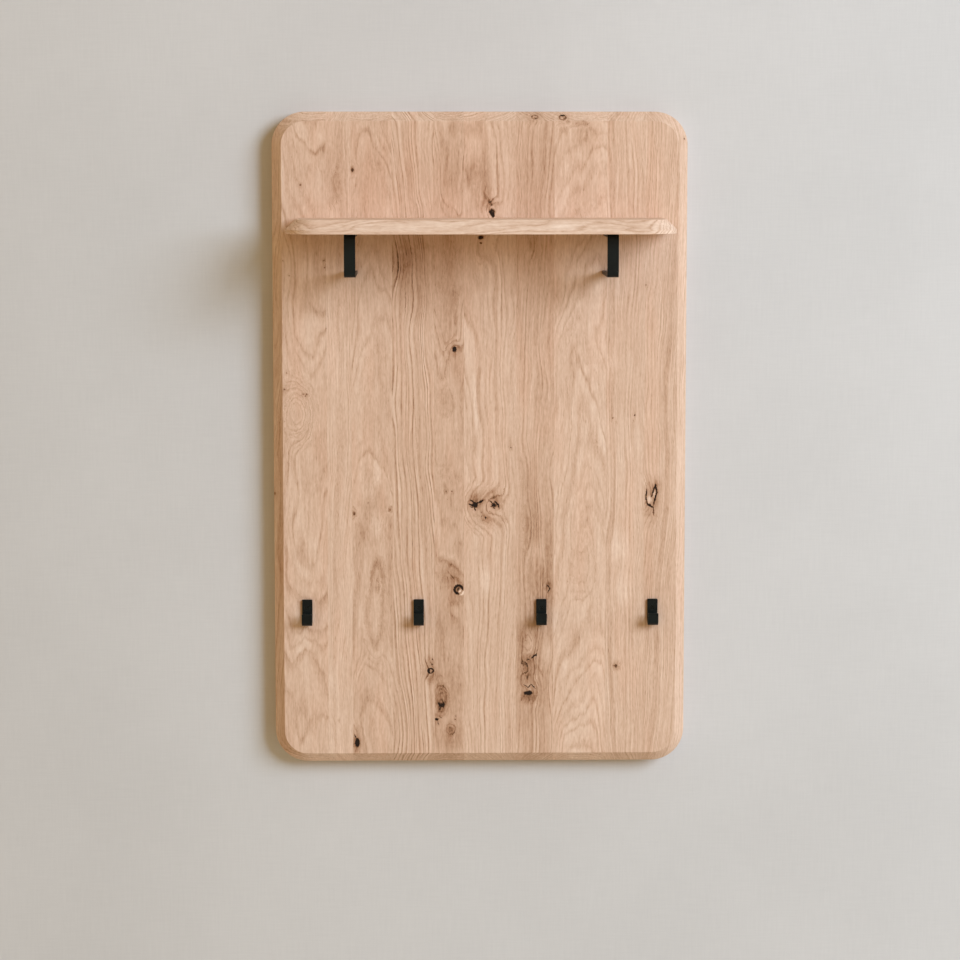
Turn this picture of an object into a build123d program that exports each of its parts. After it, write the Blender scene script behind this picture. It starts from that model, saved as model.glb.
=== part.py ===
from build123d import *
from collections import namedtuple
import os

# Wall-hung key and coat organiser: a bevelled oak board glued up from upright staves, an oak shelf
# on two bent flat-bar brackets, and a row of four bent flat-bar hooks.
# Millimetres. The origin is the centre of the board's back face, +Z is up and the front faces -Y.

# Board
BOARD_WIDTH = 600.0
BOARD_HEIGHT = 950.0
BOARD_THICKNESS = 40.0
BOARD_CORNER_RADIUS = 48.0
BEVEL = 14.0
EDGE_EASE = 0.8
STAVE_JOINTS_X = [-221.7, -186.0, -127.0, -66.3, -23.3, 52.4, 107.3, 183.2, 238.9]

# Shelf
SHELF_WIDTH = 550.0
SHELF_DEPTH = 150.0
SHELF_THICKNESS = 20.0
SHELF_CORNER_RADIUS = 48.0
SHELF_UNDERSIDE_Z = 303.0
SHELF_BACK_STAVE = 48.0
SHELF_MIDDLE_STAVE = 50.0

# Shelf brackets, bent from flat bar
BRACKET_X = 184.5
BRACKET_BAR_WIDTH = 16.0
BRACKET_BAR_THICKNESS = 5.0
BRACKET_REACH = 122.0
BRACKET_HEIGHT = 61.1
BRACKET_TOP_LEG = 100.0
BRACKET_BEND_RADIUS = 3.0
BRACKET_SCREW_SETBACKS = [35.0, 85.0]

# Hooks, bent from flat bar
HOOKS_X = {
    "hook_far_left": -252.0,
    "hook_left": -89.5,
    "hook_right": 89.5,
    "hook_far_right": 252.0,
}
HOOK_TOP_Z = -232.4
HOOK_HEIGHT = 37.1
HOOK_TIP_HEIGHT = 18.5
HOOK_BAR_WIDTH = 15.0
HOOK_BAR_THICKNESS = 4.0
HOOK_THROAT = 12.5
HOOK_BEND_RADIUS = 5.0
HOOK_CORNER_RADIUS = 1.5
HOOK_SCREW_DROP = 12.0
BAR_EDGE_EASE = 0.4

# Keyhole hanger plates, let into the board's back
HANGER_X = 200.0
HANGER_Z = 400.0
HANGER_WIDTH = 20.0
HANGER_HEIGHT = 50.0
HANGER_THICKNESS = 2.0
HANGER_SCREW_OFFSET = 19.0
KEYHOLE_ENTRY_RADIUS = 4.5
KEYHOLE_SLOT_WIDTH = 4.6
KEYHOLE_ENTRY_DROP = 5.0
KEYHOLE_SLOT_RISE = 14.0
HANGER_POCKET_WIDTH = 14.0
HANGER_POCKET_HEIGHT = 29.0
HANGER_POCKET_DEPTH = 11.0

# Bracket studs with their washers and nuts, sunk in the board's back
STUD_DIAMETER = 5.0
STUD_END_SETBACK = 1.5
STUD_CLEARANCE = 0.25
STUD_COUNTERBORE_DIAMETER = 14.0
STUD_COUNTERBORE_DEPTH = 8.0
WASHER_DIAMETER = 10.0
WASHER_THICKNESS = 1.0
NUT_ACROSS_FLATS = 8.0
NUT_THICKNESS = 4.0

# Shelf joint: dowels, and screws from the board's back
DOWELS_X = [-100.0, 100.0]
DOWEL_DIAMETER = 8.0
DOWEL_IN_BOARD = 16.0
DOWEL_IN_SHELF = 24.0
BACK_SCREWS_X = [-230.0, 0.0, 230.0]
BACK_SCREW_COUNTERBORE_DIAMETER = 10.0
BACK_SCREW_COUNTERBORE_DEPTH = 6.0

# Countersunk wood screws: shank and head diameters, and length over the head
Screw = namedtuple("Screw", "shank head length")
HOOK_SCREW = Screw(shank=4.0, head=7.6, length=24.0)
BRACKET_SCREW = Screw(shank=4.0, head=7.6, length=18.0)
BACK_SCREW = Screw(shank=4.5, head=9.0, length=75.0)
HANGER_SCREW = Screw(shank=3.0, head=6.0, length=14.0)
SCREW_POINT_LENGTH = 4.0
SCREW_LAND = 0.4
CROSS_RECESS_DEPTH = 1.5
FIT_GAP = 0.02

# A screw's tip as a share of its shank, and its cross recess's span and width as shares of its head
SCREW_TIP_SHARE = 0.15
CROSS_SPAN_SHARE = 0.55
CROSS_WIDTH_SHARE = 0.12

# Largest extent of an edge that still counts as lying flat in a plane
FLAT = 0.01

BOARD_FACE_Y = -BOARD_THICKNESS
SHELF_MIDDLE_Z = SHELF_UNDERSIDE_Z + SHELF_THICKNESS / 2
BRACKET_FRONT_Y = BOARD_FACE_Y - BRACKET_REACH
BRACKET_BOTTOM_Z = SHELF_UNDERSIDE_Z - BRACKET_HEIGHT
BRACKET_LEG_Z = BRACKET_BOTTOM_Z + BRACKET_BAR_THICKNESS / 2
BRACKET_SCREWS_Y = [BOARD_FACE_Y - setback for setback in BRACKET_SCREW_SETBACKS]
HOOK_SCREW_Z = HOOK_TOP_Z - HOOK_SCREW_DROP
HOOK_PLATE_FRONT_Y = BOARD_FACE_Y - HOOK_BAR_THICKNESS
BACK_SCREW_HEAD_Y = -BACK_SCREW_COUNTERBORE_DEPTH
BRACKET_SIDES = {"left": -1, "right": 1}


def facing(x, y, z, direction):
    """The plane at a point whose normal is the way a screw head, hole mouth or face looks out."""
    return Plane(origin=(x, y, z), x_dir=(1, 0, 0), z_dir=direction)


FRONT, BACK, DOWN = (0, -1, 0), (0, 1, 0), (0, 0, -1)


def drilled(radius, depth):
    """A round tool that starts at the local origin and goes down the local -Z axis."""
    return Pos(0, 0, -depth / 2) * Cylinder(radius, depth)


def countersunk_body(screw, gap=0.0):
    """The screw's head and full-length shank, or with a gap the hole that clears them."""
    shank_radius = screw.shank / 2 + gap
    head_radius = screw.head / 2 + gap
    cone_height = head_radius - shank_radius
    land = drilled(head_radius, SCREW_LAND)
    cone = Pos(0, 0, -SCREW_LAND - cone_height / 2) * Cone(shank_radius, head_radius, cone_height)
    shank = drilled(shank_radius, screw.length)
    return land + cone + shank


def wood_screw(screw):
    """A countersunk cross-head screw with its head's top at the local origin, pointing down."""
    radius = screw.shank / 2
    straight_length = screw.length - SCREW_POINT_LENGTH
    point_middle = -straight_length - SCREW_POINT_LENGTH / 2
    straight = countersunk_body(Screw(screw.shank, screw.head, straight_length))
    point = Pos(0, 0, point_middle) * Cone(radius * SCREW_TIP_SHARE, radius, SCREW_POINT_LENGTH)
    recess_span = screw.head * CROSS_SPAN_SHARE
    recess_width = screw.head * CROSS_WIDTH_SHARE
    recess = Pos(0, 0, -CROSS_RECESS_DEPTH / 2) * (
        Box(recess_span, recess_width, CROSS_RECESS_DEPTH)
        + Box(recess_width, recess_span, CROSS_RECESS_DEPTH)
    )
    return straight + point - recess


def flat_bar_profile(points, bends):
    """A bent bar's side view in the YZ plane; bends pairs each corner's index with its radius."""
    face = Plane.YZ * make_face(Polyline(*points, close=True))
    for index, radius in bends:
        y, z = points[index]
        corner = face.vertices().sort_by_distance((0, y, z))[0]
        face = fillet(corner, radius)
    return face


def board_blank():
    """The whole board with its bevelled front, before holes are drilled."""
    outline = Plane.XZ * RectangleRounded(BOARD_WIDTH, BOARD_HEIGHT, BOARD_CORNER_RADIUS)
    blank = extrude(outline, amount=BOARD_THICKNESS)
    front_rim = blank.faces().sort_by(Axis.Y)[0].edges()
    blank = chamfer(front_rim, BEVEL)
    rims = blank.edges().filter_by(lambda edge: edge.bounding_box().size.Y < FLAT)
    return fillet(rims, EDGE_EASE)


def hanger_outline(x):
    """The hanger plate's stadium outline on the board's back face."""
    on_back = facing(x, 0, HANGER_Z, BACK)
    return on_back * SlotOverall(HANGER_HEIGHT, HANGER_WIDTH, rotation=90)


def board_cutouts():
    """Everything drilled or routed out of the board."""
    cuts = []
    for x in HOOKS_X.values():
        pilot = drilled(HOOK_SCREW.shank / 2 + FIT_GAP, HOOK_SCREW.length)
        cuts.append(facing(x, HOOK_PLATE_FRONT_Y, HOOK_SCREW_Z, FRONT) * pilot)
    for x in BACK_SCREWS_X:
        head_room = drilled(BACK_SCREW_COUNTERBORE_DIAMETER / 2, BACK_SCREW_COUNTERBORE_DEPTH)
        cuts.append(facing(x, 0, SHELF_MIDDLE_Z, BACK) * head_room)
        screw_hole = countersunk_body(BACK_SCREW, FIT_GAP)
        cuts.append(facing(x, BACK_SCREW_HEAD_Y, SHELF_MIDDLE_Z, BACK) * screw_hole)
    for x in DOWELS_X:
        socket = drilled(DOWEL_DIAMETER / 2 + FIT_GAP, DOWEL_IN_BOARD)
        cuts.append(facing(x, BOARD_FACE_Y, SHELF_MIDDLE_Z, FRONT) * socket)
    for side in BRACKET_SIDES.values():
        on_back = facing(side * BRACKET_X, 0, BRACKET_LEG_Z, BACK)
        cuts.append(on_back * drilled(STUD_DIAMETER / 2 + STUD_CLEARANCE, BOARD_THICKNESS))
        cuts.append(on_back * drilled(STUD_COUNTERBORE_DIAMETER / 2, STUD_COUNTERBORE_DEPTH))
        hanger_x = side * HANGER_X
        cuts.append(extrude(hanger_outline(hanger_x), amount=-HANGER_THICKNESS))
        pocket = facing(hanger_x, 0, HANGER_Z, BACK) * SlotOverall(
            HANGER_POCKET_HEIGHT, HANGER_POCKET_WIDTH, rotation=90
        )
        cuts.append(extrude(pocket, amount=-HANGER_POCKET_DEPTH))
        for offset in (-HANGER_SCREW_OFFSET, HANGER_SCREW_OFFSET):
            pilot = drilled(HANGER_SCREW.shank / 2 + FIT_GAP, HANGER_SCREW.length)
            cuts.append(facing(hanger_x, 0, HANGER_Z + offset, BACK) * pilot)
    return cuts


def board_staves():
    """The board sawn along its glue lines, numbered from the left as seen from the front."""
    board = board_blank() - board_cutouts()
    edges_x = [-BOARD_WIDTH / 2, *STAVE_JOINTS_X, BOARD_WIDTH / 2]
    staves = {}
    for number, (left, right) in enumerate(zip(edges_x, edges_x[1:]), start=1):
        slab = Box(right - left, 2 * BOARD_THICKNESS, BOARD_HEIGHT)
        staves[f"board_stave_{number:02d}"] = board & Pos((left + right) / 2, 0, 0) * slab
    return staves


def shelf_blank():
    """The whole shelf, bevelled along the top of its front and ends."""
    middle_y = BOARD_FACE_Y - SHELF_DEPTH / 2
    outline = Pos(0, middle_y) * Rectangle(SHELF_WIDTH, SHELF_DEPTH)
    front_corners = outline.vertices().group_by(Axis.Y)[0]
    outline = fillet(front_corners, SHELF_CORNER_RADIUS)
    blank = Pos(0, 0, SHELF_UNDERSIDE_Z) * extrude(outline, amount=SHELF_THICKNESS)
    top_rim = blank.faces().sort_by(Axis.Z)[-1].edges()
    blank = chamfer(top_rim - top_rim.group_by(Axis.Y)[-1], BEVEL)
    rims = blank.edges().filter_by(lambda edge: edge.bounding_box().size.Z < FLAT)
    return fillet(rims - rims.group_by(Axis.Y)[-1], EDGE_EASE)


def shelf_cutouts():
    """Everything drilled into the shelf."""
    cuts = []
    for x in BACK_SCREWS_X:
        pilot = drilled(BACK_SCREW.shank / 2 + FIT_GAP, BACK_SCREW.length)
        cuts.append(facing(x, BACK_SCREW_HEAD_Y, SHELF_MIDDLE_Z, BACK) * pilot)
    for x in DOWELS_X:
        socket = drilled(DOWEL_DIAMETER / 2 + FIT_GAP, DOWEL_IN_SHELF)
        cuts.append(facing(x, BOARD_FACE_Y, SHELF_MIDDLE_Z, BACK) * socket)
    for side in BRACKET_SIDES.values():
        for place in bracket_screw_places(side):
            cuts.append(place * drilled(BRACKET_SCREW.shank / 2 + FIT_GAP, BRACKET_SCREW.length))
    return cuts


def shelf_staves():
    """The shelf sawn along its two glue lines, from the board outwards."""
    shelf = shelf_blank() - shelf_cutouts()
    front_depth = SHELF_DEPTH - SHELF_BACK_STAVE - SHELF_MIDDLE_STAVE
    depths = {
        "shelf_stave_back": SHELF_BACK_STAVE,
        "shelf_stave_middle": SHELF_MIDDLE_STAVE,
        "shelf_stave_front": front_depth,
    }
    staves = {}
    back_y = BOARD_FACE_Y
    for name, depth in depths.items():
        slab = Box(SHELF_WIDTH, depth, 2 * SHELF_THICKNESS)
        staves[name] = shelf & Pos(0, back_y - depth / 2, SHELF_MIDDLE_Z) * slab
        back_y -= depth
    return staves


def bracket_screw_places(side):
    """Where screws go up through one bracket's top leg into the shelf."""
    head_z = SHELF_UNDERSIDE_Z - BRACKET_BAR_THICKNESS
    return [facing(side * BRACKET_X, y, head_z, DOWN) for y in BRACKET_SCREWS_Y]


def bracket(side):
    """One flat bar bent twice: a top leg under the shelf, a front upright and a leg to the board."""
    top, bottom = SHELF_UNDERSIDE_Z, BRACKET_BOTTOM_Z
    front, bar = BRACKET_FRONT_Y, BRACKET_BAR_THICKNESS
    top_leg_end = front + BRACKET_TOP_LEG
    points = [
        (top_leg_end, top),
        (front, top),
        (front, bottom),
        (BOARD_FACE_Y, bottom),
        (BOARD_FACE_Y, bottom + bar),
        (front + bar, bottom + bar),
        (front + bar, top - bar),
        (top_leg_end, top - bar),
    ]
    outer, inner = BRACKET_BEND_RADIUS + bar, BRACKET_BEND_RADIUS
    profile = flat_bar_profile(points, [(1, outer), (2, outer), (5, inner), (6, inner)])
    bent = extrude(profile, amount=BRACKET_BAR_WIDTH / 2, both=True)
    long_edges = bent.edges().filter_by(lambda edge: edge.bounding_box().size.X < FLAT)
    bent = Pos(side * BRACKET_X, 0, 0) * fillet(long_edges, BAR_EDGE_EASE)
    screw_hole = countersunk_body(BRACKET_SCREW, FIT_GAP)
    return bent - [place * screw_hole for place in bracket_screw_places(side)]


def hook(x):
    """One flat bar bent into a J: a screwed plate and a short upturned tip."""
    bar = HOOK_BAR_THICKNESS
    plate_back, plate_front = BOARD_FACE_Y, HOOK_PLATE_FRONT_Y
    tip_back = plate_front - HOOK_THROAT
    tip_front = tip_back - bar
    bottom = HOOK_TOP_Z - HOOK_HEIGHT
    tip_top = bottom + HOOK_TIP_HEIGHT
    points = [
        (plate_back, HOOK_TOP_Z),
        (plate_back, bottom),
        (tip_front, bottom),
        (tip_front, tip_top),
        (tip_back, tip_top),
        (tip_back, bottom + bar),
        (plate_front, bottom + bar),
        (plate_front, HOOK_TOP_Z),
    ]
    outer, inner = HOOK_BEND_RADIUS + bar, HOOK_BEND_RADIUS
    profile = flat_bar_profile(points, [(1, outer), (2, outer), (5, inner), (6, inner)])
    bent = extrude(profile, amount=HOOK_BAR_WIDTH / 2, both=True)
    end_corners = bent.edges().filter_by(Axis.Y).filter_by(
        lambda edge: edge.center().Z > tip_top - FLAT
    )
    bent = fillet(end_corners, HOOK_CORNER_RADIUS)
    long_edges = bent.edges().filter_by(lambda edge: edge.bounding_box().size.X < FLAT)
    bent = Pos(x, 0, 0) * fillet(long_edges, BAR_EDGE_EASE)
    screw_hole = countersunk_body(HOOK_SCREW, FIT_GAP)
    return bent - facing(x, plate_front, HOOK_SCREW_Z, FRONT) * screw_hole


def hanger_plate(side):
    """A keyhole plate: a screw head enters the round hole and the board drops onto it."""
    x = side * HANGER_X
    on_back = facing(x, 0, HANGER_Z - KEYHOLE_ENTRY_DROP, BACK)
    plate = extrude(hanger_outline(x), amount=-HANGER_THICKNESS)
    entry = on_back * drilled(KEYHOLE_ENTRY_RADIUS, 2 * HANGER_THICKNESS)
    slot_outline = facing(x, 0, HANGER_Z - KEYHOLE_ENTRY_DROP + KEYHOLE_SLOT_RISE / 2, BACK)
    slot = slot_outline * SlotCenterToCenter(KEYHOLE_SLOT_RISE, KEYHOLE_SLOT_WIDTH, rotation=90)
    plate -= [entry, extrude(slot, amount=-HANGER_THICKNESS)]
    return plate - [
        facing(x, 0, HANGER_Z + offset, BACK) * countersunk_body(HANGER_SCREW, FIT_GAP)
        for offset in (-HANGER_SCREW_OFFSET, HANGER_SCREW_OFFSET)
    ]


def stud_hardware():
    """The studs on the brackets' lower legs, with the washers and nuts that pull them in."""
    radius = STUD_DIAMETER / 2
    stud_length = BOARD_THICKNESS - STUD_END_SETBACK
    washer_y = -STUD_COUNTERBORE_DEPTH + WASHER_THICKNESS
    nut_y = washer_y + NUT_THICKNESS
    washer = drilled(WASHER_DIAMETER / 2, WASHER_THICKNESS)
    washer -= drilled(radius + STUD_CLEARANCE, WASHER_THICKNESS)
    hexagon = RegularPolygon(NUT_ACROSS_FLATS / 2, 6, major_radius=False)
    nut = extrude(hexagon, amount=-NUT_THICKNESS) - drilled(radius + FIT_GAP, NUT_THICKNESS)
    groups = {"bracket_studs": [], "bracket_washers": [], "bracket_nuts": []}
    for side in BRACKET_SIDES.values():
        x = side * BRACKET_X
        stud_place = facing(x, -STUD_END_SETBACK, BRACKET_LEG_Z, BACK)
        groups["bracket_studs"].append(stud_place * drilled(radius, stud_length))
        groups["bracket_washers"].append(facing(x, washer_y, BRACKET_LEG_Z, BACK) * washer)
        groups["bracket_nuts"].append(facing(x, nut_y, BRACKET_LEG_Z, BACK) * nut)
    return groups


def screws_and_dowels():
    """The wood screws and dowels, each kind as one group of separate solids."""
    dowel = drilled(DOWEL_DIAMETER / 2, DOWEL_IN_BOARD + DOWEL_IN_SHELF)
    dowel_back_y = BOARD_FACE_Y + DOWEL_IN_BOARD
    bracket_places = [
        place for side in BRACKET_SIDES.values() for place in bracket_screw_places(side)
    ]
    hanger_places = [
        facing(side * HANGER_X, 0, HANGER_Z + offset, BACK)
        for side in BRACKET_SIDES.values()
        for offset in (-HANGER_SCREW_OFFSET, HANGER_SCREW_OFFSET)
    ]
    return {
        "hook_screws": [
            facing(x, HOOK_PLATE_FRONT_Y, HOOK_SCREW_Z, FRONT) * wood_screw(HOOK_SCREW)
            for x in HOOKS_X.values()
        ],
        "bracket_screws": [place * wood_screw(BRACKET_SCREW) for place in bracket_places],
        "shelf_back_screws": [
            facing(x, BACK_SCREW_HEAD_Y, SHELF_MIDDLE_Z, BACK) * wood_screw(BACK_SCREW)
            for x in BACK_SCREWS_X
        ],
        "hanger_screws": [place * wood_screw(HANGER_SCREW) for place in hanger_places],
        "shelf_dowels": [
            facing(x, dowel_back_y, SHELF_MIDDLE_Z, BACK) * dowel for x in DOWELS_X
        ],
    }


def main():
    nodes = {**board_staves(), **shelf_staves()}
    for side_name, side in BRACKET_SIDES.items():
        nodes[f"bracket_{side_name}"] = bracket(side)
        nodes[f"hanger_plate_{side_name}"] = hanger_plate(side)
    for hook_name, x in HOOKS_X.items():
        nodes[hook_name] = hook(x)
    for group_name, solids in {**stud_hardware(), **screws_and_dowels()}.items():
        nodes[group_name] = Compound(children=[part.solid() for part in solids])
    os.makedirs("parts", exist_ok=True)
    for name, shape in nodes.items():
        export_step(shape, f"parts/{name}.step")


main()
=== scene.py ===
import math
from collections import namedtuple

import bpy
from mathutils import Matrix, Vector


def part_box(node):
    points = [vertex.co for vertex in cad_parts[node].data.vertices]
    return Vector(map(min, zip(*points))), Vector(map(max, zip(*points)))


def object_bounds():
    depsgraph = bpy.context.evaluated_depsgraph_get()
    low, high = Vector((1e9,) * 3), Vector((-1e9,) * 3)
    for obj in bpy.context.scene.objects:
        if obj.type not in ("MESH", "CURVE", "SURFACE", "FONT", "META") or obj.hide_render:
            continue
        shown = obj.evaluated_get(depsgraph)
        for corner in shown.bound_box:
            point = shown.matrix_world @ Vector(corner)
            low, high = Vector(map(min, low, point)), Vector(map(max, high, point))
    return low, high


# Looks for a wall-hung oak key organiser. Places are in the row frame: X to the right, Y into the wall and
# Z up, from the centre of the board's back face. Lengths are in metres, and in millimetres in the wood.

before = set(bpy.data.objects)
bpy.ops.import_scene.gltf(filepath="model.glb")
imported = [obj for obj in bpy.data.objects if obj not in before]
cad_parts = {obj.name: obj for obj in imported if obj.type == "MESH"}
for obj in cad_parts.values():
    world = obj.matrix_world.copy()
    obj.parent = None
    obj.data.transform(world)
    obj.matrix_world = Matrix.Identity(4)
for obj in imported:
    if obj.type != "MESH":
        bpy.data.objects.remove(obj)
CAD_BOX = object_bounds()
MM = 0.001

# Camera, where the eye stands in front of the wall
CAMERA_PLACE = Vector((-0.0687, -4.04, 0.4128))
CAMERA_AIM = Vector((0.0, -0.04, 0.0057))
CAMERA_LENS = 103.85
CAMERA_SENSOR = 36.0
CAMERA_SHIFT_Y = -0.045

# Room: a wall just behind the board, with an opening a little smaller than the board, and a floor below it
WALL_GAP = 0.0006
WALL_REACH = 6.0
WALL_TOP = 3.0
OPENING_INSET = 0.0015
BOARD_CORNER = 0.048
FLOOR_Z = -1.6
FLOOR_FRONT = -12.0
FLOOR_BACK = 6.0
PLASTER_TONES = ((204, 201, 196), (209, 206, 201))
PLASTER_ROUGHNESS = 0.9
# The plaster's woven tooth: how it darkens and lightens the plaster, and how deep it is
TOOTH_SHADE = (0.98, 1.02)
TOOTH_DEPTH = 0.05 * MM
FLOOR_TONES = ((196, 183, 161), (204, 191, 169))
FLOOR_ROUGHNESS = 0.8

# The window: a large cool light high on the right
KEY_DIRECTION = Vector((0.95, -1.0, 0.52)).normalized()
KEY_DISTANCE = 7.0
KEY_SIZE = 3.9
KEY_POWER = 414.0
WINDOW_COLOUR = (0.82, 1.0, 1.26)

# The room's own light: warm round about, and paler the higher it comes from, up to the height (Z of its
# direction) where it is all CEILING_COLOUR. AMBIENT_LEAN points to where more of it comes from.
AMBIENT_COLOUR = (1.14, 0.62, 0.05, 1.0)
CEILING_COLOUR = (0.72, 0.69, 0.58, 1.0)
CEILING_HEIGHT = 0.85
AMBIENT_STRENGTH = 0.405
AMBIENT_LEAN = (-0.25, 0.0, 0.65)
# What the camera sees past the wall and the floor
BACKDROP_COLOUR = (206, 203, 199)

# A soft light behind the wall, for views of the board's back
BACK_FILL_PLACE = Vector((-1.0, 4.0, 0.6))
BACK_FILL_SIZE = 3.0
BACK_FILL_POWER = 150.0
BACK_FILL_COLOUR = (0.92, 1.0, 1.08)

# Surface colours are written as sRGB in 0 to 255, as they look in full light
LIGHT_LEVEL = 0.96
BRIGHTEST_ALBEDO = 0.95


def linear(level):
    """One sRGB channel in 0 to 255 as linear light in 0 to 1."""
    part = level / 255
    return part / 12.92 if part <= 0.04045 else ((part + 0.055) / 1.055) ** 2.4


def albedo(srgb):
    """Linear reflectance of a colour that looks like srgb where the light level is LIGHT_LEVEL."""
    return tuple(min(BRIGHTEST_ALBEDO, linear(level) / LIGHT_LEVEL) for level in srgb) + (1.0,)


class Graph:
    """The node tree of a new material or world, with short calls that add one node and return its output."""

    def __init__(self, name, kind="materials"):
        self.owner = getattr(bpy.data, kind).new(name)
        self.owner.use_nodes = True
        self.tree = self.owner.node_tree
        self.tree.nodes.clear()

    def add(self, kind, inputs=(), **settings):
        """Adds a node and returns it. Each input is a number, a tuple or another node's output."""
        node = self.tree.nodes.new(kind)
        for key, value in settings.items():
            setattr(node, key, value)
        for key, value in dict(inputs).items():
            if isinstance(value, bpy.types.NodeSocket):
                self.tree.links.new(value, node.inputs[key])
            else:
                node.inputs[key].default_value = value
        return node

    def object_place(self):
        """The surface point in the frame's metres."""
        return self.add("ShaderNodeTexCoord").outputs["Object"]

    def math(self, operation, *values):
        return self.add("ShaderNodeMath", enumerate(values), operation=operation).outputs[0]

    def vector(self, operation, a, b=None, scale=None):
        inputs = {0: a}
        if b is not None:
            inputs[1] = b
        if scale is not None:
            inputs["Scale"] = scale
        node = self.add("ShaderNodeVectorMath", inputs, operation=operation)
        return node.outputs["Value" if operation in ("LENGTH", "DOT_PRODUCT") else "Vector"]

    def combined(self, x, y, z):
        return self.add("ShaderNodeCombineXYZ", {0: x, 1: y, 2: z}).outputs[0]

    def stretched(self, vector, x, y, z):
        """The vector with its parts scaled one by one."""
        return self.vector("MULTIPLY", vector, (x, y, z))

    def noise(self, vector, scale=1.0, detail=2.0, roughness=0.5, distortion=0.0, output="Fac"):
        inputs = {
            "Vector": vector,
            "Scale": scale,
            "Detail": detail,
            "Roughness": roughness,
            "Distortion": distortion,
        }
        return self.add("ShaderNodeTexNoise", inputs).outputs[output]

    def line_noise(self, value, scale, detail=1.0):
        """Noise along one number."""
        inputs = {"W": value, "Scale": scale, "Detail": detail}
        return self.add("ShaderNodeTexNoise", inputs, noise_dimensions="1D").outputs[0]

    def swing(self, reach, vector, scale=1.0, detail=2.0, roughness=0.5):
        """A vector that noise swings by up to half of reach each way."""
        colour = self.noise(vector, scale, detail, roughness, output="Color")
        return self.stretched(self.vector("SUBTRACT", colour, (0.5, 0.5, 0.5)), *reach)

    def spread(self, value, low, high, out_low=0.0, out_high=1.0, smooth=True):
        """Maps low..high to out_low..out_high, and holds the ends."""
        inputs = {0: value, 1: low, 2: high, 3: out_low, 4: out_high}
        kind = "SMOOTHSTEP" if smooth else "LINEAR"
        return self.add("ShaderNodeMapRange", inputs, interpolation_type=kind).outputs[0]

    def ramp(self, value, stops):
        node = self.add("ShaderNodeValToRGB", {0: value})
        elements = node.color_ramp.elements
        while len(elements) < len(stops):
            elements.new(1.0)
        for element, (position, colour) in zip(elements, stops):
            element.position = position
            element.color = colour
        return node.outputs[0]

    def blend(self, factor, a, b, mode="MIX"):
        node = self.add("ShaderNodeMix", {0: factor, 6: a, 7: b}, data_type="RGBA", blend_type=mode)
        return node.outputs[2]

    def two_tone(self, factor, tones):
        """A blend of two sRGB surface colours."""
        return self.blend(factor, albedo(tones[0]), albedo(tones[1]))

    def bump(self, height, distance, strength):
        inputs = {"Height": height, "Distance": distance, "Strength": strength}
        return self.add("ShaderNodeBump", inputs).outputs[0]

    def principled(self, colour, roughness, **others):
        """The main shader. Its other inputs are named with underscores for spaces."""
        inputs = {key.replace("_", " "): value for key, value in others.items()}
        inputs.update({"Base Color": colour, "Roughness": roughness})
        return self.add("ShaderNodeBsdfPrincipled", inputs).outputs[0]

    def mixed(self, factor, shader_a, shader_b):
        return self.add("ShaderNodeMixShader", {0: factor, 1: shader_a, 2: shader_b}).outputs[0]

    def close(self, shader, kind="ShaderNodeOutputMaterial"):
        """Leads the shader to the tree's output, and returns the finished material or world."""
        self.add(kind, {"Surface": shader}, is_active_output=True)
        return self.owner


# --- Oak -------------------------------------------------------------------------------------------
# The wood is solid: growth rings are distances from a pith line that runs along the stave, so the face,
# the bevel and the end grain all cut the same rings. Points are (across, depth, along) in millimetres:
# the frame's X, Y and Z in the board, and its Y, Z and X in the shelf.

# pith: where its line passes the stave's middle, as across from the stave's centre and as depth;
# lean: how far the pith drifts across and in depth per millimetre along; ring: growth ring width;
# tone: how dark the stave is; lines: how strongly its rings show; seed: where in the noise it lies
Stave = namedtuple("Stave", "pith lean ring tone lines seed")

BOARD_STAVES = {
    "board_stave_01": Stave((18, 70), (0.02, -0.055), 3.0, 0.334, 1.0, 1.3),
    "board_stave_02": Stave((-120, 60), (0.01, 0.01), 3.4, 0.275, 0.6, 2.1),
    "board_stave_03": Stave((6, 55), (-0.01, 0.050), 3.0, 0.342, 0.8, 3.7),
    "board_stave_04": Stave((150, 60), (-0.06, 0.02), 4.6, 0.354, 2.0, 4.2),
    "board_stave_05": Stave((3, 60), (0.0, -0.05), 3.2, 0.396, 0.9, 5.9),
    "board_stave_06": Stave((-60, 60), (0.05, 0.04), 3.6, 0.312, 1.1, 6.4),
    "board_stave_07": Stave((70, 60), (-0.02, 0.03), 3.4, 0.386, 1.1, 7.8),
    "board_stave_08": Stave((10, 48), (0.01, 0.060), 3.0, 0.281, 0.9, 8.6),
    "board_stave_09": Stave((-140, 60), (0.01, 0.02), 3.2, 0.314, 0.9, 9.5),
    "board_stave_10": Stave((120, 60), (0.03, 0.02), 3.4, 0.335, 1.0, 10.9),
}
BOARD_JOINTS = [-300.0, -221.7, -186.0, -127.0, -66.3, -23.3, 52.4, 107.3, 183.2, 238.9, 300.0]
SHELF_STAVES = {
    "shelf_stave_front": Stave((20, 250), (0.03, 0.05), 3.4, 0.28, 1.5, 11.7),
    "shelf_stave_middle": Stave((-40, 250), (-0.02, 0.03), 3.2, 0.3, 1.5, 12.3),
    "shelf_stave_back": Stave((10, 240), (0.02, -0.04), 3.4, 0.29, 1.5, 13.6),
}

# Colours from the palest wood to the darkest check
OAK_TONES = [
    (0.00, (243, 217, 194)),
    (0.28, (220, 187, 160)),
    (0.42, (207, 171, 143)),
    (0.60, (186, 147, 117)),
    (0.72, (166, 124, 93)),
    (0.82, (134, 95, 67)),
    (0.90, (92, 62, 41)),
    (0.96, (60, 41, 27)),
    (1.00, (40, 28, 20)),
]
PINK_TINT = (1.015, 0.98, 0.965, 1)
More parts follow.
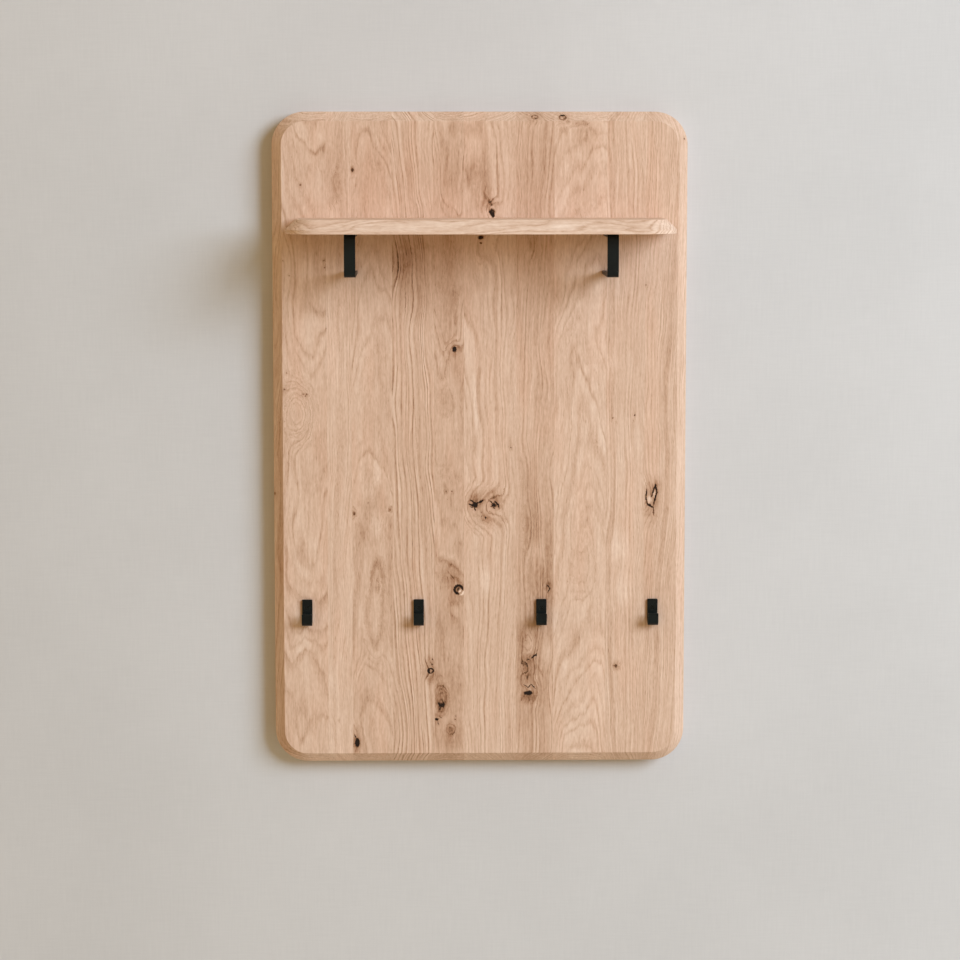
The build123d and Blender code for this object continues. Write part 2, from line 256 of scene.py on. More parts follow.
# The pith's slow wander along the stave and the rings' quick shiver: reach, then scale of the noise
PITH_WANDER = ((34.0, 26.0, 0.0), (0.012, 0.012, 0.0045))
RING_SHIVER = ((2.6, 2.6, 0.0), (0.10, 0.10, 0.012))
RING_UNEVENNESS = 9.0
# Darkness across one growth ring, from its porous early wood to its dense late wood
RING_PROFILE = [(0.0, 0.55), (0.06, 1.0), (0.20, 0.75), (0.38, 0.18), (0.62, 0.0), (0.88, 0.10), (1.0, 0.55)]
RING_MEAN = 0.33
RING_DEPTH = 0.15
# Noise that makes streaks and fibres: scale per millimetre in radius, across and along, detail and depth
GRAIN_LAYERS = [
    ((0.16, 0.05, 0.006), 3.0, 0.072),
    ((0.46, 0.30, 0.020), 2.0, 0.085),
    ((0.50, 0.45, 0.110), 1.0, 0.066),
]
TONE_DRIFT = 0.04
PORE_WIDTH = 0.8
PORE_LENGTH = 9.0
PORE_DEPTH = 0.13
GROOVE_DEPTH = 0.12 * MM
OAK_ROUGHNESS = (0.74, 0.88)
OAK_SPECULAR = 0.15
# A stave's place in the noise is its seed times these steps, and its fibres have their own
SEED_STEPS = (311, 97, 523)
FIBRE_SEED_STEPS = (71, 13, 37)
# Reach of the noise that makes the outlines of marks ragged, and of the noise that bends clouds further
MARK_FRAY = (3.4, 0.0, 3.4)
CLOUD_WARP = (5.0, 0.0, 5.0)
# Half a mark's size in depth: marks run right through the board
MARK_DEPTH = 1e6
# Where marks begin and end to fade, in parts of their half size; a ring's edge is counted from RIM_RADIUS
SPOT_EDGE = (0.55, 1.25)
RIM_RADIUS = 0.85
RIM_EDGE = (0.10, 0.36)
CLOUD_EDGE = (0.0, 1.3)
SWELL_EDGE = (0.0, 1.4)
# The halo round a pin knot and round a knot: how many times wider and higher than its heart
PIN_HALO = (3.5, 5.0)
PIN_HALO_DARK = 0.07
PIN_HALO_SWELL = 1.2
KNOT_HALO = (3.2, 3.6)
KNOT_HALO_GAIN = 1.4
BROWN_HEART = 0.16

# A mark in the wood at (x, z): kind is "spot", "ring" or "cloud", w and h its half width and half height,
# dark how far it darkens (a negative one pales), swell how far it pushes the growth rings round itself,
# and tilt its turn in radians
Mark = namedtuple("Mark", "kind x z w h dark swell tilt", defaults=(0.0, 0.0))


def cloud(x, z, w, h, dark, swell=0.0, tilt=0.0):
    """A soft patch of darker wood, or of paler wood where dark is negative."""
    return [Mark("cloud", x, z, w, h, dark, swell, tilt)]


def spot(x, z, w, h, dark, tilt=0.0):
    """A small dark spot with a ragged edge, or a pale one where dark is negative."""
    return [Mark("spot", x, z, w, h, dark, 0.0, tilt)]


def rim(x, z, w, h, dark):
    """A dark outline with nothing in it."""
    return [Mark("ring", x, z, w, h, dark)]


def stroke(x0, z0, x1, z1, width, dark):
    """A thin check between two points."""
    half_length = math.hypot(x1 - x0, z1 - z0) / 2 + width
    turn = -math.atan2(z1 - z0, x1 - x0)
    return spot((x0 + x1) / 2, (z0 + z1) / 2, half_length, width, dark, turn)


def pin(x, z, r=1.2, dark=0.34):
    """A pin knot, little more than a brown point in a small darker cloud."""
    halo = cloud(x, z, PIN_HALO[0] * r, PIN_HALO[1] * r, PIN_HALO_DARK, PIN_HALO_SWELL)
    return [*spot(x, z, r, 1.1 * r, dark), *halo]


def knot(x, z, w, h, dark, halo, swell=4.0, kind="spot"):
    """A knot: a dark heart or ring, a browner halo, and growth rings that swing round it."""
    heart = Mark(kind, x, z, w, h, dark)
    return [heart, *cloud(x, z, KNOT_HALO[0] * w, KNOT_HALO[1] * h, KNOT_HALO_GAIN * halo, swell)]


def ringed_knot(x, z, w, h, dark, halo, swell):
    """A knot with a dark outline round a brown heart."""
    return [*knot(x, z, w, h, dark, halo, swell, "ring"), *cloud(x, z, w, h, BROWN_HEART)]


MARKS = [
    # the upper ends are a little darker: painted shade over the band above the shelf, by a different amount
    # on each stave
    *cloud(-204, 400, 24, 80, 0.11), *cloud(-45, 400, 34, 90, 0.05), *cloud(15, 400, 50, 90, 0.06),
    *cloud(80, 400, 40, 90, 0.05), *cloud(-97, 400, 40, 80, 0.05), *cloud(-157, 400, 36, 90, 0.03),
    *cloud(146, 400, 48, 100, 0.05), *cloud(211, 400, 36, 90, 0.02),
    # first and second staves: pin knots and faint swirls
    *pin(-258, 370), *pin(-256, 68), *pin(-251, 68), *pin(-253, 65, 0.9), *pin(-283, 75), *pin(-280, 99),
    *pin(-225, 261), *pin(-224, 251), *pin(-284, 261, 1.0, 0.3), *pin(-299, -78, 2.0),
    *pin(-275, 240, 0.9), *cloud(-262, 41, 24, 46, 0.03, 22.0), *cloud(-285, -15, 12, 60, 0.05, 5.0),
    *cloud(-258, -136, 12, 16, 0.11), *pin(-207, -412, 0.9, 0.12), *cloud(-208, 372, 12, 26, 0.10, 9.0),
    *cloud(-214, 345, 8, 12, 0.10, 3.0),
    # third stave: small knots with paler wood between them, and a dark check at its foot
    *knot(-183.6, 392, 2.6, 3.2, 0.30, 0.06), *knot(-183, -106, 2.2, 3.0, 0.36, 0.08),
    *knot(-131, -101, 2.0, 2.4, 0.24, 0.08), *pin(-163, -91, 0.8, 0.2), *cloud(-149, -50, 6, 26, -0.12),
    *stroke(-176, -112, -168, -150, 3.0, 0.08), *stroke(-136, -110, -146, -150, 3.0, 0.07),
    *cloud(-155, -260, 14, 60, 0.03, 7.0), *spot(-179.6, -445, 3.6, 7.0, 0.58),
    *stroke(-184, -433, -181, -439, 0.8, 0.5), *cloud(-180, -440, 10, 24, 0.10, 4.0),
    *cloud(-182, -448, 12, 16, 0.18), *cloud(-148, -125, 16, 26, -0.16), *cloud(-164, -69, 16, 24, -0.14),
    *cloud(-150, -200, 11, 34, 0.10, 6.0),
    # fourth stave: dark figure under the shelf, one long dark line, and a ringed knot by the joint
    *cloud(-96, 258, 46, 62, 0.15, 6.0), *cloud(-114, 262, 22, 34, 0.08, 5.0),
    *cloud(-80, 282, 22, 18, 0.05), *spot(-111, 246, 2.2, 3.6, 0.10, 0.4),
    *cloud(-88, 200, 26, 34, 0.06, 7.0), *cloud(-84, 330, 14, 24, 0.03, 4.0),
    *stroke(-98, 84, -88, -60, 0.9, 0.12), *stroke(-88, -60, -83, -177, 0.9, 0.10),
    *ringed_knot(-72.4, -338.5, 4.6, 4.0, 0.46, 0.12, 7.0), *spot(-70, -329, 1.1, 1.4, 0.4),
    *spot(-69.4, -321.5, 0.9, 1.4, 0.36), *cloud(-72, -356, 6, 8, 0.10), *cloud(-73, -325, 10, 12, 0.16),
    *cloud(-72, -349, 10, 10, 0.14),
    # fifth stave: a small knot, a ringed one, and a darker foot with a long knot in it
    *knot(-37, 133, 3.4, 4.2, 0.60, 0.10), *cloud(-40, 112, 13, 34, 0.08, 5.0),
    *cloud(-44, 170, 10, 50, 0.05), *pin(-49, -74), *pin(-41, -74), *pin(-47, -86, 0.7, 0.2),
    *cloud(-48, -60, 18, 22, 0.02, 3.0), *cloud(-43, 262, 14, 90, 0.06, 5.0),
    *cloud(-48, 60, 12, 26, 0.02, 5.0), *rim(-31.4, -218.4, 6.8, 7.0, 0.60),
    *spot(-27.2, -222.6, 4.6, 4.6, -0.6), *cloud(-32, -218, 5, 5, 0.2),
    *cloud(-33, -218, 20, 26, 0.14, 7.0), *stroke(-38, -203, -48, -190, 1.0, 0.14),
    *cloud(-44, -320, 30, 150, 0.08), *cloud(-45, -190, 18, 22, 0.18, 4.0),
    *cloud(-42, -440, 24, 28, 0.15), *cloud(-37, 452, 14, 14, 0.11), *cloud(-48, -295, 14, 26, -0.06),
    *cloud(-42, -322, 14, 20, -0.05), *cloud(-59, -398, 9, 13, 0.15), *cloud(-61, -350, 8, 10, 0.10),
    *cloud(-64, -414, 8, 8, 0.10), *spot(-57.0, -366, 5.0, 7.6, 0.08), *spot(-56.8, -386, 4.4, 6.6, 0.20),
    *cloud(-56.6, -384, 2.0, 2.6, -0.10), *rim(-57, -375, 9.0, 20.0, 0.09),
    *cloud(-56.5, -379, 13, 26, 0.15, 9.0), *spot(-63.5, -410.5, 2.8, 2.0, 0.6),
    *stroke(-62, -413, -60.6, -419, 0.6, 0.5), *stroke(-58.5, -408, -56, -409, 0.6, 0.4),
    *pin(-36.5, -411), *pin(-36, -406, 0.8), *cloud(-42, -426, 11, 11, 0.06, 6.0),
    # sixth stave: a knot above the shelf, one under it, and a checked pair below the board's middle
    *spot(17.4, 331, 5.0, 5.4, 0.62), *spot(18.6, 326, 2.8, 4.6, 0.6), *cloud(17, 338, 4.5, 2.4, -0.18),
    *stroke(16, 341, 6, 358, 2.6, 0.14), *cloud(15, 342, 11, 12, 0.22), *cloud(-8, 385, 18, 30, 0.17),
    *cloud(2, 352, 16, 30, 0.10, 0.0, 0.4), *cloud(17, 333, 16, 18, 0.05, 7.0),
    *spot(1.2, 294.6, 4.6, 3.4, 0.6), *spot(1.4, 286.6, 2.0, 1.7, 0.5), *cloud(4, 280, 22, 26, 0.06, 6.0),
    *pin(45, -10, 1.1, 0.42), *cloud(44, -4, 5, 12, 0.07, 2.0), *cloud(-8, 60, 5, 60, -0.06),
    *spot(-7.5, -94.5, 5.4, 4.2, 0.36), *stroke(-5, -92, 5.5, -87.0, 1.6, 0.38),
    *stroke(-15.5, -93, -9, -95, 1.6, 0.46), *stroke(-14, -87, -8, -90.5, 1.2, 0.36),
    *stroke(-8, -98, -6.5, -102, 1.0, 0.46), *stroke(-14, -96.5, -10, -98, 0.7, 0.4),
    *spot(20, -94.5, 3.4, 2.8, 0.38), *stroke(14.5, -88, 19, -92, 1.2, 0.4),
    *stroke(22, -89, 27, -94, 1.3, 0.48), *stroke(26.5, -94, 28, -99, 0.7, 0.4),
    *stroke(15, -96, 18, -96.5, 0.7, 0.36), *stroke(19, -98, 22, -99.5, 0.8, 0.4),
    *spot(8, -113, 0.9, 2.0, 0.42), *spot(2.4, -110.5, 0.7, 1.3, 0.36), *spot(14, -103.6, 1.2, 0.8, 0.3),
    *spot(1.4, -105, 0.8, 0.9, 0.26), *spot(4, -117, 0.7, 1.0, 0.26), *cloud(-8, -93, 16, 15, 0.08),
    *cloud(21, -93, 14, 13, 0.07), *cloud(7, -98, 36, 34, 0.09, 16.0), *cloud(12, -78, 12, 14, 0.04),
    *cloud(-5, -86, 16, 16, 0.18), *cloud(24, -85, 14, 16, 0.18), *cloud(7, -114, 15, 12, 0.14),
    *cloud(32, -116, 11, 13, 0.11), *cloud(8, -203, 11, 30, -0.12), *cloud(-14, 450, 14, 14, 0.11),
    # seventh stave: brown heartwood, with knots and checks at its foot
    *cloud(84, -190, 30, 150, 0.15, 5.0), *cloud(101, -200, 9, 90, 0.10), *cloud(80, -350, 34, 110, 0.10),
    *cloud(70, -60, 14, 60, 0.05, 5.0), *cloud(72, -130, 10, 40, 0.05, 7.0),
    *knot(78.7, 467, 5.0, 3.2, 0.26, 0.06, 4.0, "ring"), *spot(80, 466, 3.0, 1.2, 0.18, 0.5),
    *cloud(73, -300, 8, 18, -0.10, 9.0), *stroke(82.5, -314, 76, -319.5, 1.3, 0.56),
    *spot(82, -316, 1.2, 2.0, 0.4), *spot(71, -322, 1.6, 0.8, 0.26),
    *stroke(66, -326, 69, -329, 0.7, 0.26), *cloud(71, -337, 11, 16, 0.15, 8.0),
    *stroke(85, -332, 92, -347, 1.6, 0.14), *cloud(60, -325, 5, 30, 0.12),
    *cloud(88, -372, 10, 26, 0.04, 4.0), *stroke(64.5, -359.5, 70.5, -363.5, 0.8, 0.56),
    *stroke(70.5, -363.5, 75, -359, 0.8, 0.56), *stroke(75, -359, 81, -365.5, 0.8, 0.56),
    *spot(70.5, -372, 6.2, 2.8, 0.62), *spot(73, -371, 2.4, 3.4, 0.5), *cloud(72, -366, 3.6, 2.0, -0.14),
    *cloud(72, -368, 14, 17, 0.08, 8.0), *cloud(71, -378, 14, 12, 0.20), *cloud(65, -349, 12, 14, 0.13),
    *cloud(70, -321, 11, 11, 0.12), *cloud(61, -288, 10, 20, 0.14), *cloud(98, -312, 10, 26, -0.16),
    *cloud(83, -165, 16, 26, -0.12), *cloud(102, -216, 9, 16, 0.12),
    *stroke(98, -212, 102, -217, 0.9, 0.26), *stroke(102, -217, 99, -223, 0.9, 0.26),
    *cloud(76, 285, 12, 26, 0.05, 6.0),
    # eighth to tenth staves: scattered pin knots, and an open knot at the right
    *knot(119, 466.5, 5.6, 3.8, 0.34, 0.08, 5.0, "ring"), *spot(119, 469, 3.4, 1.6, 0.34),
    *spot(121, 465, 2.0, 1.2, 0.26, -0.5), *pin(148, 461, 1.0, 0.2), *pin(127, 461, 0.9, 0.2),
    *pin(139, 458, 1.0, 0.2), *pin(155, 457, 0.9, 0.16), *cloud(138, 460, 22, 8, 0.05, 3.0),
    *cloud(151, 441, 18, 24, 0.15), *pin(170, -2, 1.2, 0.12), *cloud(152, 28, 18, 32, -0.10),
    *cloud(155, -190, 20, 60, 0.04, 8.0), *cloud(212, -218, 16, 32, -0.10),
    *cloud(202, -160, 20, 36, -0.10), *cloud(189, 113, 10, 26, -0.09), *pin(128, -207, 1.2, 0.14),
    *pin(193, 33, 1.2, 0.36), *pin(225, 37, 1.2, 0.5), *pin(198, 27, 0.7, 0.14), *pin(223, 29, 0.7, 0.14),
    *cloud(212, 60, 30, 26, 0.04), *knot(199, -332, 2.6, 2.8, 0.34, 0.12),
    *stroke(194, -332, 197, -332, 0.6, 0.2), *stroke(202, -333, 206, -332, 0.6, 0.2),
    *pin(239.9, 226, 1.4, 0.24), *pin(295, 436, 1.2, 0.5), *cloud(249, -88, 16, 38, 0.17, 9.0),
    *stroke(243, -72, 241.6, -84, 1.2, 0.44), *stroke(241.6, -84, 244, -93, 1.4, 0.48),
    *stroke(244, -93, 251, -97.5, 1.7, 0.5), *stroke(255.6, -64.5, 257.6, -76, 1.4, 0.46),
    *stroke(257.4, -76, 252.5, -96, 1.4, 0.44), *stroke(255, -66, 250, -82, 1.2, 0.44),
    *stroke(252.4, -97, 253.4, -110, 1.3, 0.42), *cloud(247.0, -86, 4.4, 8, -0.36),
    *cloud(254.2, -77, 2.2, 7, -0.30), *cloud(251, -82, 14, 20, 0.10), *cloud(257, -66, 10, 15, 0.16),
]


def seed_shift(seed, steps):
    return tuple(seed * step for step in steps)


def mark_fields(g, point, seeded, marks):
    """How dark the marks' hearts are, how dark their clouds are, and how far they push the growth rings."""
    frayed = g.vector("ADD", point, g.swing(MARK_FRAY, seeded, 0.55, 2.0, 0.6))
    warped = g.vector("ADD", frayed, g.swing(CLOUD_WARP, seeded, 0.15, 1.0, 0.5))
    hearts, clouds, swells = 0.0, 0.0, 0.0
    for mark in marks:
        mapping = {
            "Vector": warped if mark.kind == "cloud" else frayed,
            "Location": (mark.x, 0, mark.z),
            "Rotation": (0, mark.tilt, 0),
            "Scale": (mark.w, MARK_DEPTH, mark.h),
        }
        local = g.add("ShaderNodeMapping", mapping, vector_type="TEXTURE").outputs[0]
        reach = g.vector("LENGTH", local)
        if mark.kind == "spot":
            hearts = g.math("ADD", hearts, g.spread(reach, *SPOT_EDGE, mark.dark, 0.0))
        elif mark.kind == "ring":
            from_rim = g.math("ABSOLUTE", g.math("SUBTRACT", reach, RIM_RADIUS))
            hearts = g.math("ADD", hearts, g.spread(from_rim, *RIM_EDGE, mark.dark, 0.0))
        else:
            clouds = g.math("ADD", clouds, g.spread(reach, *CLOUD_EDGE, mark.dark, 0.0))
        if mark.swell:
            swells = g.math("ADD", swells, g.spread(reach, *SWELL_EDGE, mark.swell, 0.0))
    return hearts, clouds, swells


def pith_distance(g, stave, centre, point_parts, seeded):
    """Distance from the stave's leaning, wandering pith."""
    across, depth, along = point_parts
    lean_across = g.math("MULTIPLY", along, stave.lean[0])
    lean_depth = g.math("MULTIPLY", along, stave.lean[1])
    off_across = g.math("SUBTRACT", g.math("SUBTRACT", across, centre + stave.pith[0]), lean_across)
    off_depth = g.math("SUBTRACT", g.math("SUBTRACT", depth, stave.pith[1]), lean_depth)
    offset = g.combined(off_across, off_depth, 0.0)
    for reach, scale in (PITH_WANDER, RING_SHIVER):
        offset = g.vector("ADD", offset, g.swing(reach, g.stretched(seeded, *scale)))
    return g.vector("LENGTH", offset)


def growth_rings(g, radius, ring_width, seeded):
    """The early wood of each ring, from 0 to 1, and the rings' darkness, which is 0 on average."""
    uneven = g.math("MULTIPLY", g.line_noise(radius, 0.09), RING_UNEVENNESS)
    phase = g.math("DIVIDE", g.math("ADD", radius, uneven), ring_width)
    early = g.ramp(g.math("FRACT", phase), [(at, (level, level, level, 1)) for at, level in RING_PROFILE])
    weight = g.spread(g.line_noise(phase, 0.43, 2.0), 0.3, 0.72, 0.3, 1.6)
    broken = g.noise(g.stretched(seeded, 0.07, 0.07, 0.012), 1.0, 3.0, 0.6)
    strength = g.math("MULTIPLY", weight, g.spread(broken, 0.3, 0.7, 0.35, 1.35))
    return early, g.math("MULTIPLY", g.math("SUBTRACT", early, RING_MEAN), strength)


def oak(name, stave, centre, marks, axes="XYZ"):
    """Oak for one stave. centre is the stave's middle across the grain; axes gives which of the frame's
    axes are across, depth and along."""
    g = Graph(name)
    in_mm = g.vector("SCALE", g.object_place(), scale=1 / MM)
    parts = g.add("ShaderNodeSeparateXYZ", {0: in_mm}).outputs
    across, depth, along = (parts["XYZ".index(axis)] for axis in axes)
    point = g.combined(across, depth, along)
    seeded = g.vector("ADD", point, seed_shift(stave.seed, SEED_STEPS))
    hearts, clouds, swells = mark_fields(g, point, seeded, marks)
    radius = g.math("ADD", pith_distance(g, stave, centre, (across, depth, along), seeded), swells)
    early, lines = growth_rings(g, radius, stave.ring, seeded)

    # fibres and pores run with the rings: two of their three coordinates are radius and across
    flow = g.vector("ADD", g.combined(radius, across, along), seed_shift(stave.seed, FIBRE_SEED_STEPS))
    fibres = []
    for scale, detail, tone_depth in GRAIN_LAYERS:
        fibre = g.noise(g.stretched(flow, *scale), 1.0, detail, 0.6)
        fibres.append(g.spread(fibre, 0.25, 0.75, -tone_depth, tone_depth, smooth=False))
    pore_field = g.noise(g.stretched(flow, 1 / PORE_WIDTH, 1 / PORE_WIDTH, 1 / PORE_LENGTH), 1.0, 1.0)
    pores = g.math("MULTIPLY", g.spread(pore_field, 0.56, 0.68), g.math("MULTIPLY_ADD", early, 0.9, 0.3))

    # clouds are mottled, and the stave's tone drifts slowly along it
    mottle = g.noise(g.stretched(seeded, 0.13, 0.13, 0.06), 1.0, 4.0, 0.7, 1.2)
    cloudy = g.math("MULTIPLY", clouds, g.spread(mottle, 0.25, 0.75, 0.8, 2.0, smooth=False))
    drift = g.noise(g.stretched(seeded, 0.018, 0.018, 0.0035))
    dark = g.math("MULTIPLY_ADD", lines, RING_DEPTH * stave.lines, stave.tone)
    dark = g.math("ADD", dark, g.spread(drift, 0.3, 0.7, -TONE_DRIFT, TONE_DRIFT, smooth=False))
    for layer in (*fibres, g.math("MULTIPLY", pores, PORE_DEPTH), cloudy, hearts):
        dark = g.math("ADD", dark, layer)

    colour = g.ramp(dark, [(at, albedo(tone)) for at, tone in OAK_TONES])
    hue = g.noise(g.stretched(seeded, 0.03, 0.03, 0.006))
    colour = g.blend(1.0, colour, g.blend(g.spread(hue, 0.45, 0.75), (1, 1, 1, 1), PINK_TINT), "MULTIPLY")
    roughness = g.spread(g.math("ADD", pores, fibres[1]), 0.0, 1.0, *OAK_ROUGHNESS, smooth=False)
    grooves = g.math("ADD", g.math("MULTIPLY", pores, -1.0), g.math("MULTIPLY", lines, -0.25))
    normal = g.bump(grooves, GROOVE_DEPTH, 0.6)
    return g.close(g.principled(colour, roughness, Normal=normal, Specular_IOR_Level=OAK_SPECULAR))


# --- Metal and dowels ------------------------------------------------------------------------------

COAT_TONES = ((8, 14, 13), (15, 22, 21))
# the paler grey that a painted sheen lays along the coat's edges
COAT_PAINTED_SHEEN = (70, 78, 76)
COAT_EDGE = 0.8 * MM
COAT_SPECULAR = 0.22
# How far the coat's roughness varies each way, and how much smoother it is along its edges
COAT_UNEVENNESS = 0.06
COAT_POLISH = 0.12
PEBBLE_DEPTH = 0.05 * MM
ZINC_DULL = (0.50, 0.51, 0.53, 1)
ZINC_BRIGHT = (0.68, 0.68, 0.67, 1)
ZINC_ROUGHNESS = (0.26, 0.46)
BRUSHING_DEPTH = 0.02 * MM
BEECH_TONES = ((214, 172, 128), (190, 146, 104))
BEECH_FLECK = (150, 104, 70)
BEECH_ROUGHNESS = (0.5, 0.65)
FIBRE_DEPTH = 0.05 * MM


def edge_mask(g, radius):
    """1 along sharp edges and 0 on flats, from how far a rounded normal turns from the true one."""
    rounded = g.add("ShaderNodeBevel", {"Radius": radius}, samples=4).outputs[0]
    true_normal = g.add("ShaderNodeNewGeometry").outputs["Normal"]
    return g.spread(g.vector("DOT_PRODUCT", rounded, true_normal), 0.90, 0.995, 1.0, 0.0)


def black_coat(name, roughness, painted_sheen):
    """Powder-coated steel: fine pebbled skin, smoother along its edges, where a painted sheen also makes it
    paler.
    """
    g = Graph(name)
    place = g.object_place()
    pebble = g.noise(place, 900.0)
    patches = g.noise(place, 60.0, 3.0, 0.6)
    edge_sheen_and_polish = g.math("MULTIPLY", edge_mask(g, COAT_EDGE), g.spread(patches, 0.35, 0.65, 0.3, 1.0))
    skin = g.two_tone(g.spread(patches, 0.3, 0.7), COAT_TONES)
    # painted sheen: along the edges the colour turns towards a paler grey
    colour = g.blend(g.math("MULTIPLY", edge_sheen_and_polish, painted_sheen), skin, albedo(COAT_PAINTED_SHEEN))
    uneven = g.spread(pebble, 0.3, 0.7, roughness - COAT_UNEVENNESS, roughness + COAT_UNEVENNESS)
    roughness_map = g.math("SUBTRACT", uneven, g.math("MULTIPLY", edge_sheen_and_polish, COAT_POLISH))
    normal = g.bump(pebble, PEBBLE_DEPTH, 0.5)
    return g.close(g.principled(colour, roughness_map, Normal=normal, Specular_IOR_Level=COAT_SPECULAR))


def zinc_plate(name):
    """Bright zinc plate: brushed a little one way, cloudy with handling."""
    g = Graph(name)
    place = g.object_place()
    brushed = g.noise(g.stretched(place, 2600.0, 2600.0, 160.0))
    patches = g.noise(place, 90.0, 3.0, 0.6)
    colour = g.blend(g.spread(patches, 0.3, 0.7), ZINC_DULL, ZINC_BRIGHT)
    roughness = g.spread(g.math("ADD", brushed, patches), 0.7, 1.3, *ZINC_ROUGHNESS)
    normal = g.bump(brushed, BRUSHING_DEPTH, 0.4)
    return g.close(g.principled(colour, roughness, Normal=normal, Metallic=1.0))


def beech(name):
    """Plain turned beech with short ray flecks along the grain."""
    g = Graph(name)
    place = g.object_place()
    fibre = g.noise(g.stretched(place, 900.0, 60.0, 900.0), 1.0, 3.0, 0.6)
    fleck = g.spread(g.noise(g.stretched(place, 500.0, 140.0, 500.0)), 0.6, 0.7)
    colour = g.blend(g.math("MULTIPLY", fleck, 0.5), g.two_tone(fibre, BEECH_TONES), albedo(BEECH_FLECK))
    roughness = g.spread(fibre, 0.3, 0.7, *BEECH_ROUGHNESS)
    return g.close(g.principled(colour, roughness, Normal=g.bump(fibre, FIBRE_DEPTH, 0.5)))


# --- Giving the CAD nodes their materials ----------------------------------------------------------

COATED_STEEL = ("bracket_left", "bracket_right", "hook_far_left", "hook_left", "hook_right", "hook_far_right")
COATED_SCREWS = ("hook_screws", "bracket_screws")
ZINC_PARTS = (
    "hanger_plate_left", "hanger_plate_right", "hanger_screws", "bracket_studs", "bracket_washers",
    "bracket_nuts", "shelf_back_screws",
)


def dress(material, *node_names):
    """Makes the material the only one of these CAD nodes."""
    for node_name in node_names:
        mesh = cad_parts[node_name].data
        mesh.materials.clear()
        mesh.materials.append(material)


def dress_board():
    """Gives each stave of the board its own oak, with the marks that lie between its joints."""
    for (node_name, stave), left, right in zip(BOARD_STAVES.items(), BOARD_JOINTS, BOARD_JOINTS[1:]):
        marks = [mark for mark in MARKS if left <= mark.x < right]
        dress(oak(f"oak_{node_name}", stave, (left + right) / 2, marks), node_name)


def dress_shelf():
    """Gives each stave of the shelf its own oak, with the grain along X and no marks."""
    for node_name, stave in SHELF_STAVES.items():
        low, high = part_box(node_name)
        centre = (low.y + high.y) / 2 / MM
        dress(oak(f"oak_{node_name}", stave, centre, [], axes="YZX"), node_name)


def dress_metal_and_dowels():
    # the last argument is how strongly a painted sheen pales the edges
    dress(black_coat("black_powder_coat", roughness=0.42, painted_sheen=0.30), *COATED_STEEL)
    dress(black_coat("black_screw_finish", roughness=0.30, painted_sheen=0.60), *COATED_SCREWS)
    dress(zinc_plate("zinc_plate"), *ZINC_PARTS)
    dress(beech("turned_beech"), "shelf_dowels")


# --- Room, light and camera ------------------------------------------------------------------------


def rounded_outline(half_width, half_height, radius, steps=12):
    """Points round a rounded rectangle in the XZ plane, anticlockwise from its right side."""
    points = []
    for quarter, (sx, sz) in enumerate([(1, 1), (-1, 1), (-1, -1), (1, -1)]):
        for step in range(steps + 1):
            angle = math.pi / 2 * (quarter + step / steps)
            x = sx * (half_width - radius) + radius * math.cos(angle)
            z = sz * (half_height - radius) + radius * math.sin(angle)
            points.append((x, z))
    return points


def plaster():
    """Pale warm plaster with a faint woven tooth. It shows only from the room's side."""
    g = Graph("wall_plaster")
    place = g.object_place()
    patches = g.noise(place, 2.2, 3.0, 0.55)
    warp_threads = g.noise(g.stretched(place, 420.0, 1.0, 24.0))
    weft_threads = g.noise(g.stretched(place, 24.0, 1.0, 420.0))
    tooth = g.math("ADD", warp_threads, weft_threads)
    shade = g.spread(tooth, 0.7, 1.3, *TOOTH_SHADE, smooth=False)
    colour = g.vector("SCALE", g.two_tone(g.spread(patches, 0.3, 0.7), PLASTER_TONES), scale=shade)
    plain = g.principled(colour, PLASTER_ROUGHNESS, Normal=g.bump(tooth, TOOTH_DEPTH, 0.4))
    clear = g.add("ShaderNodeBsdfTransparent").outputs[0]
    from_behind = g.add("ShaderNodeNewGeometry").outputs["Backfacing"]
    return g.close(g.mixed(from_behind, plain, clear))


def floor_paint():
    """Pale floor, faintly clouded."""
    g = Graph("floor_pale")
    patches = g.noise(g.object_place(), 3.0, 4.0, 0.6)
    return g.close(g.principled(g.two_tone(patches, FLOOR_TONES), FLOOR_ROUGHNESS))


def mesh_object(name, vertices, faces, material):
    mesh = bpy.data.meshes.new(name)
    mesh.from_pydata(vertices, [], faces)
    mesh.materials.append(material)
    made = bpy.data.objects.new(name, mesh)
    bpy.context.scene.collection.objects.link(made)
    return made


def build_wall():
    """The wall, open behind the board so that the board's back can be seen."""
    low, high = CAD_BOX
    half_width = (high.x - low.x) / 2 - OPENING_INSET
    half_height = (high.z - low.z) / 2 - OPENING_INSET
    inner = rounded_outline(half_width, half_height, BOARD_CORNER - OPENING_INSET)
    outer = []
    for x, z in inner:
        stretch = WALL_REACH / max(abs(x), abs(z))
        outer.append((x * stretch, max(FLOOR_Z, min(WALL_TOP, z * stretch))))
    count = len(inner)
    vertices = [(x, WALL_GAP, z) for x, z in inner + outer]
    faces = [(i, count + i, count + (i + 1) % count, (i + 1) % count) for i in range(count)]
    return mesh_object("wall", vertices, faces, plaster())


def build_floor():
    corners = [
        (-WALL_REACH, FLOOR_BACK, FLOOR_Z),
        (-WALL_REACH, FLOOR_FRONT, FLOOR_Z),
        (WALL_REACH, FLOOR_FRONT, FLOOR_Z),
        (WALL_REACH, FLOOR_BACK, FLOOR_Z),
    ]
    return mesh_object("floor", corners, [(0, 1, 2, 3)], floor_paint())


def build_room():
    wall = build_wall()
    floor = build_floor()


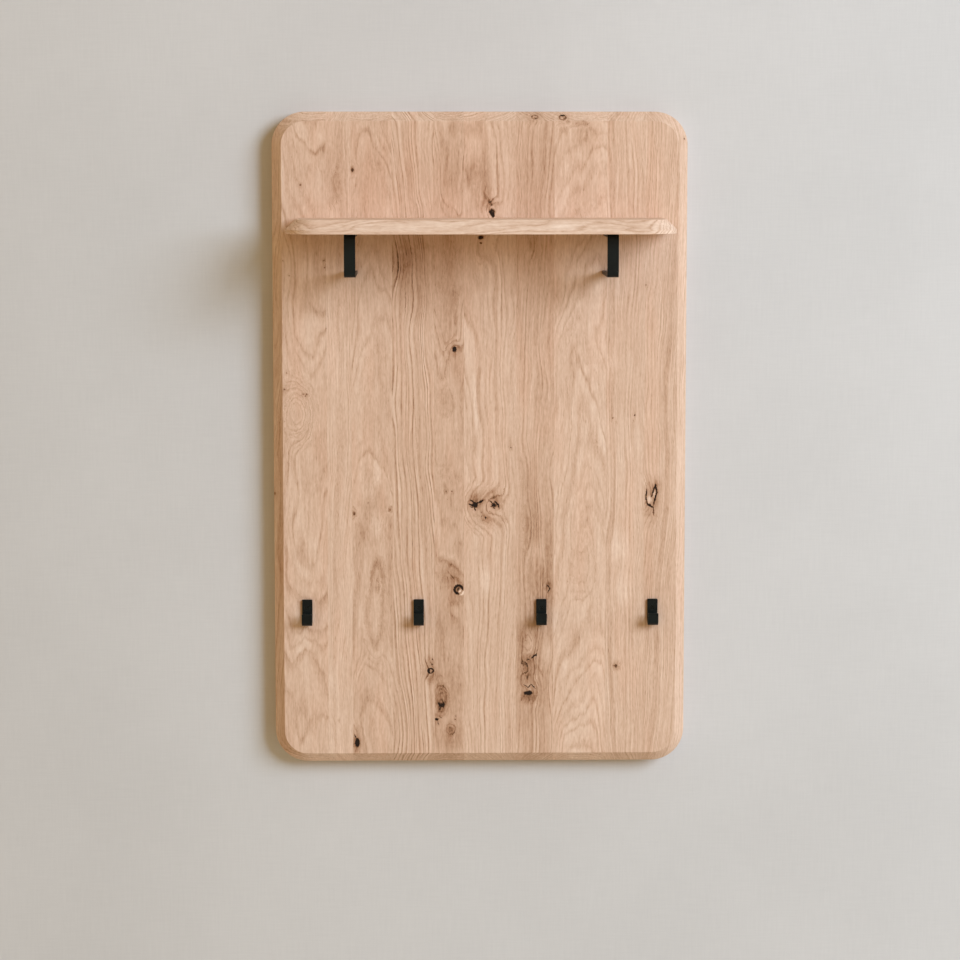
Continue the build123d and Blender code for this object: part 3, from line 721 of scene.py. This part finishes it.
def area_light(name, place, size, power, colour):
    """A round soft light at a place, aimed at the frame's origin."""
    data = bpy.data.lights.new(name, "AREA")
    data.shape = "DISK"
    data.size = size
    data.energy = power
    data.color = colour
    lamp = bpy.data.objects.new(name, data)
    lamp.location = place
    lamp.rotation_mode = "QUATERNION"
    lamp.rotation_quaternion = (-place).to_track_quat("-Z", "Y")
    bpy.context.scene.collection.objects.link(lamp)


def build_light():
    """The window, the fill behind, and the room's own light, which the camera sees as a plain backdrop."""
    area_light("key", KEY_DIRECTION * KEY_DISTANCE, KEY_SIZE, KEY_POWER, WINDOW_COLOUR)
    area_light("back_fill", BACK_FILL_PLACE, BACK_FILL_SIZE, BACK_FILL_POWER, BACK_FILL_COLOUR)
    g = Graph("studio", "worlds")
    direction = g.add("ShaderNodeTexCoord").outputs["Generated"]
    lean = g.vector("DOT_PRODUCT", direction, AMBIENT_LEAN)
    strength = g.math("MULTIPLY_ADD", lean, AMBIENT_STRENGTH, AMBIENT_STRENGTH)
    height = g.add("ShaderNodeSeparateXYZ", {0: direction}).outputs["Z"]
    colour = g.blend(g.spread(height, 0.0, CEILING_HEIGHT, smooth=False), AMBIENT_COLOUR, CEILING_COLOUR)
    ambient = g.add("ShaderNodeBackground", {"Color": colour, "Strength": strength}).outputs[0]
    backdrop = g.add("ShaderNodeBackground", {"Color": albedo(BACKDROP_COLOUR)}).outputs[0]
    camera_ray = g.add("ShaderNodeLightPath").outputs["Is Camera Ray"]
    bpy.context.scene.world = g.close(g.mixed(camera_ray, ambient, backdrop), "ShaderNodeOutputWorld")


def build_camera():
    data = bpy.data.cameras.new("camera")
    data.lens = CAMERA_LENS
    data.sensor_width = CAMERA_SENSOR
    data.shift_y = CAMERA_SHIFT_Y
    camera = bpy.data.objects.new("camera", data)
    camera.location = CAMERA_PLACE
    camera.rotation_mode = "QUATERNION"
    camera.rotation_quaternion = (CAMERA_AIM - CAMERA_PLACE).to_track_quat("-Z", "Y")
    bpy.context.scene.collection.objects.link(camera)
    bpy.context.scene.camera = camera


dress_board()
dress_shelf()
dress_metal_and_dowels()
build_room()
build_light()
build_camera()
bpy.context.scene.view_settings.view_transform = "Standard"
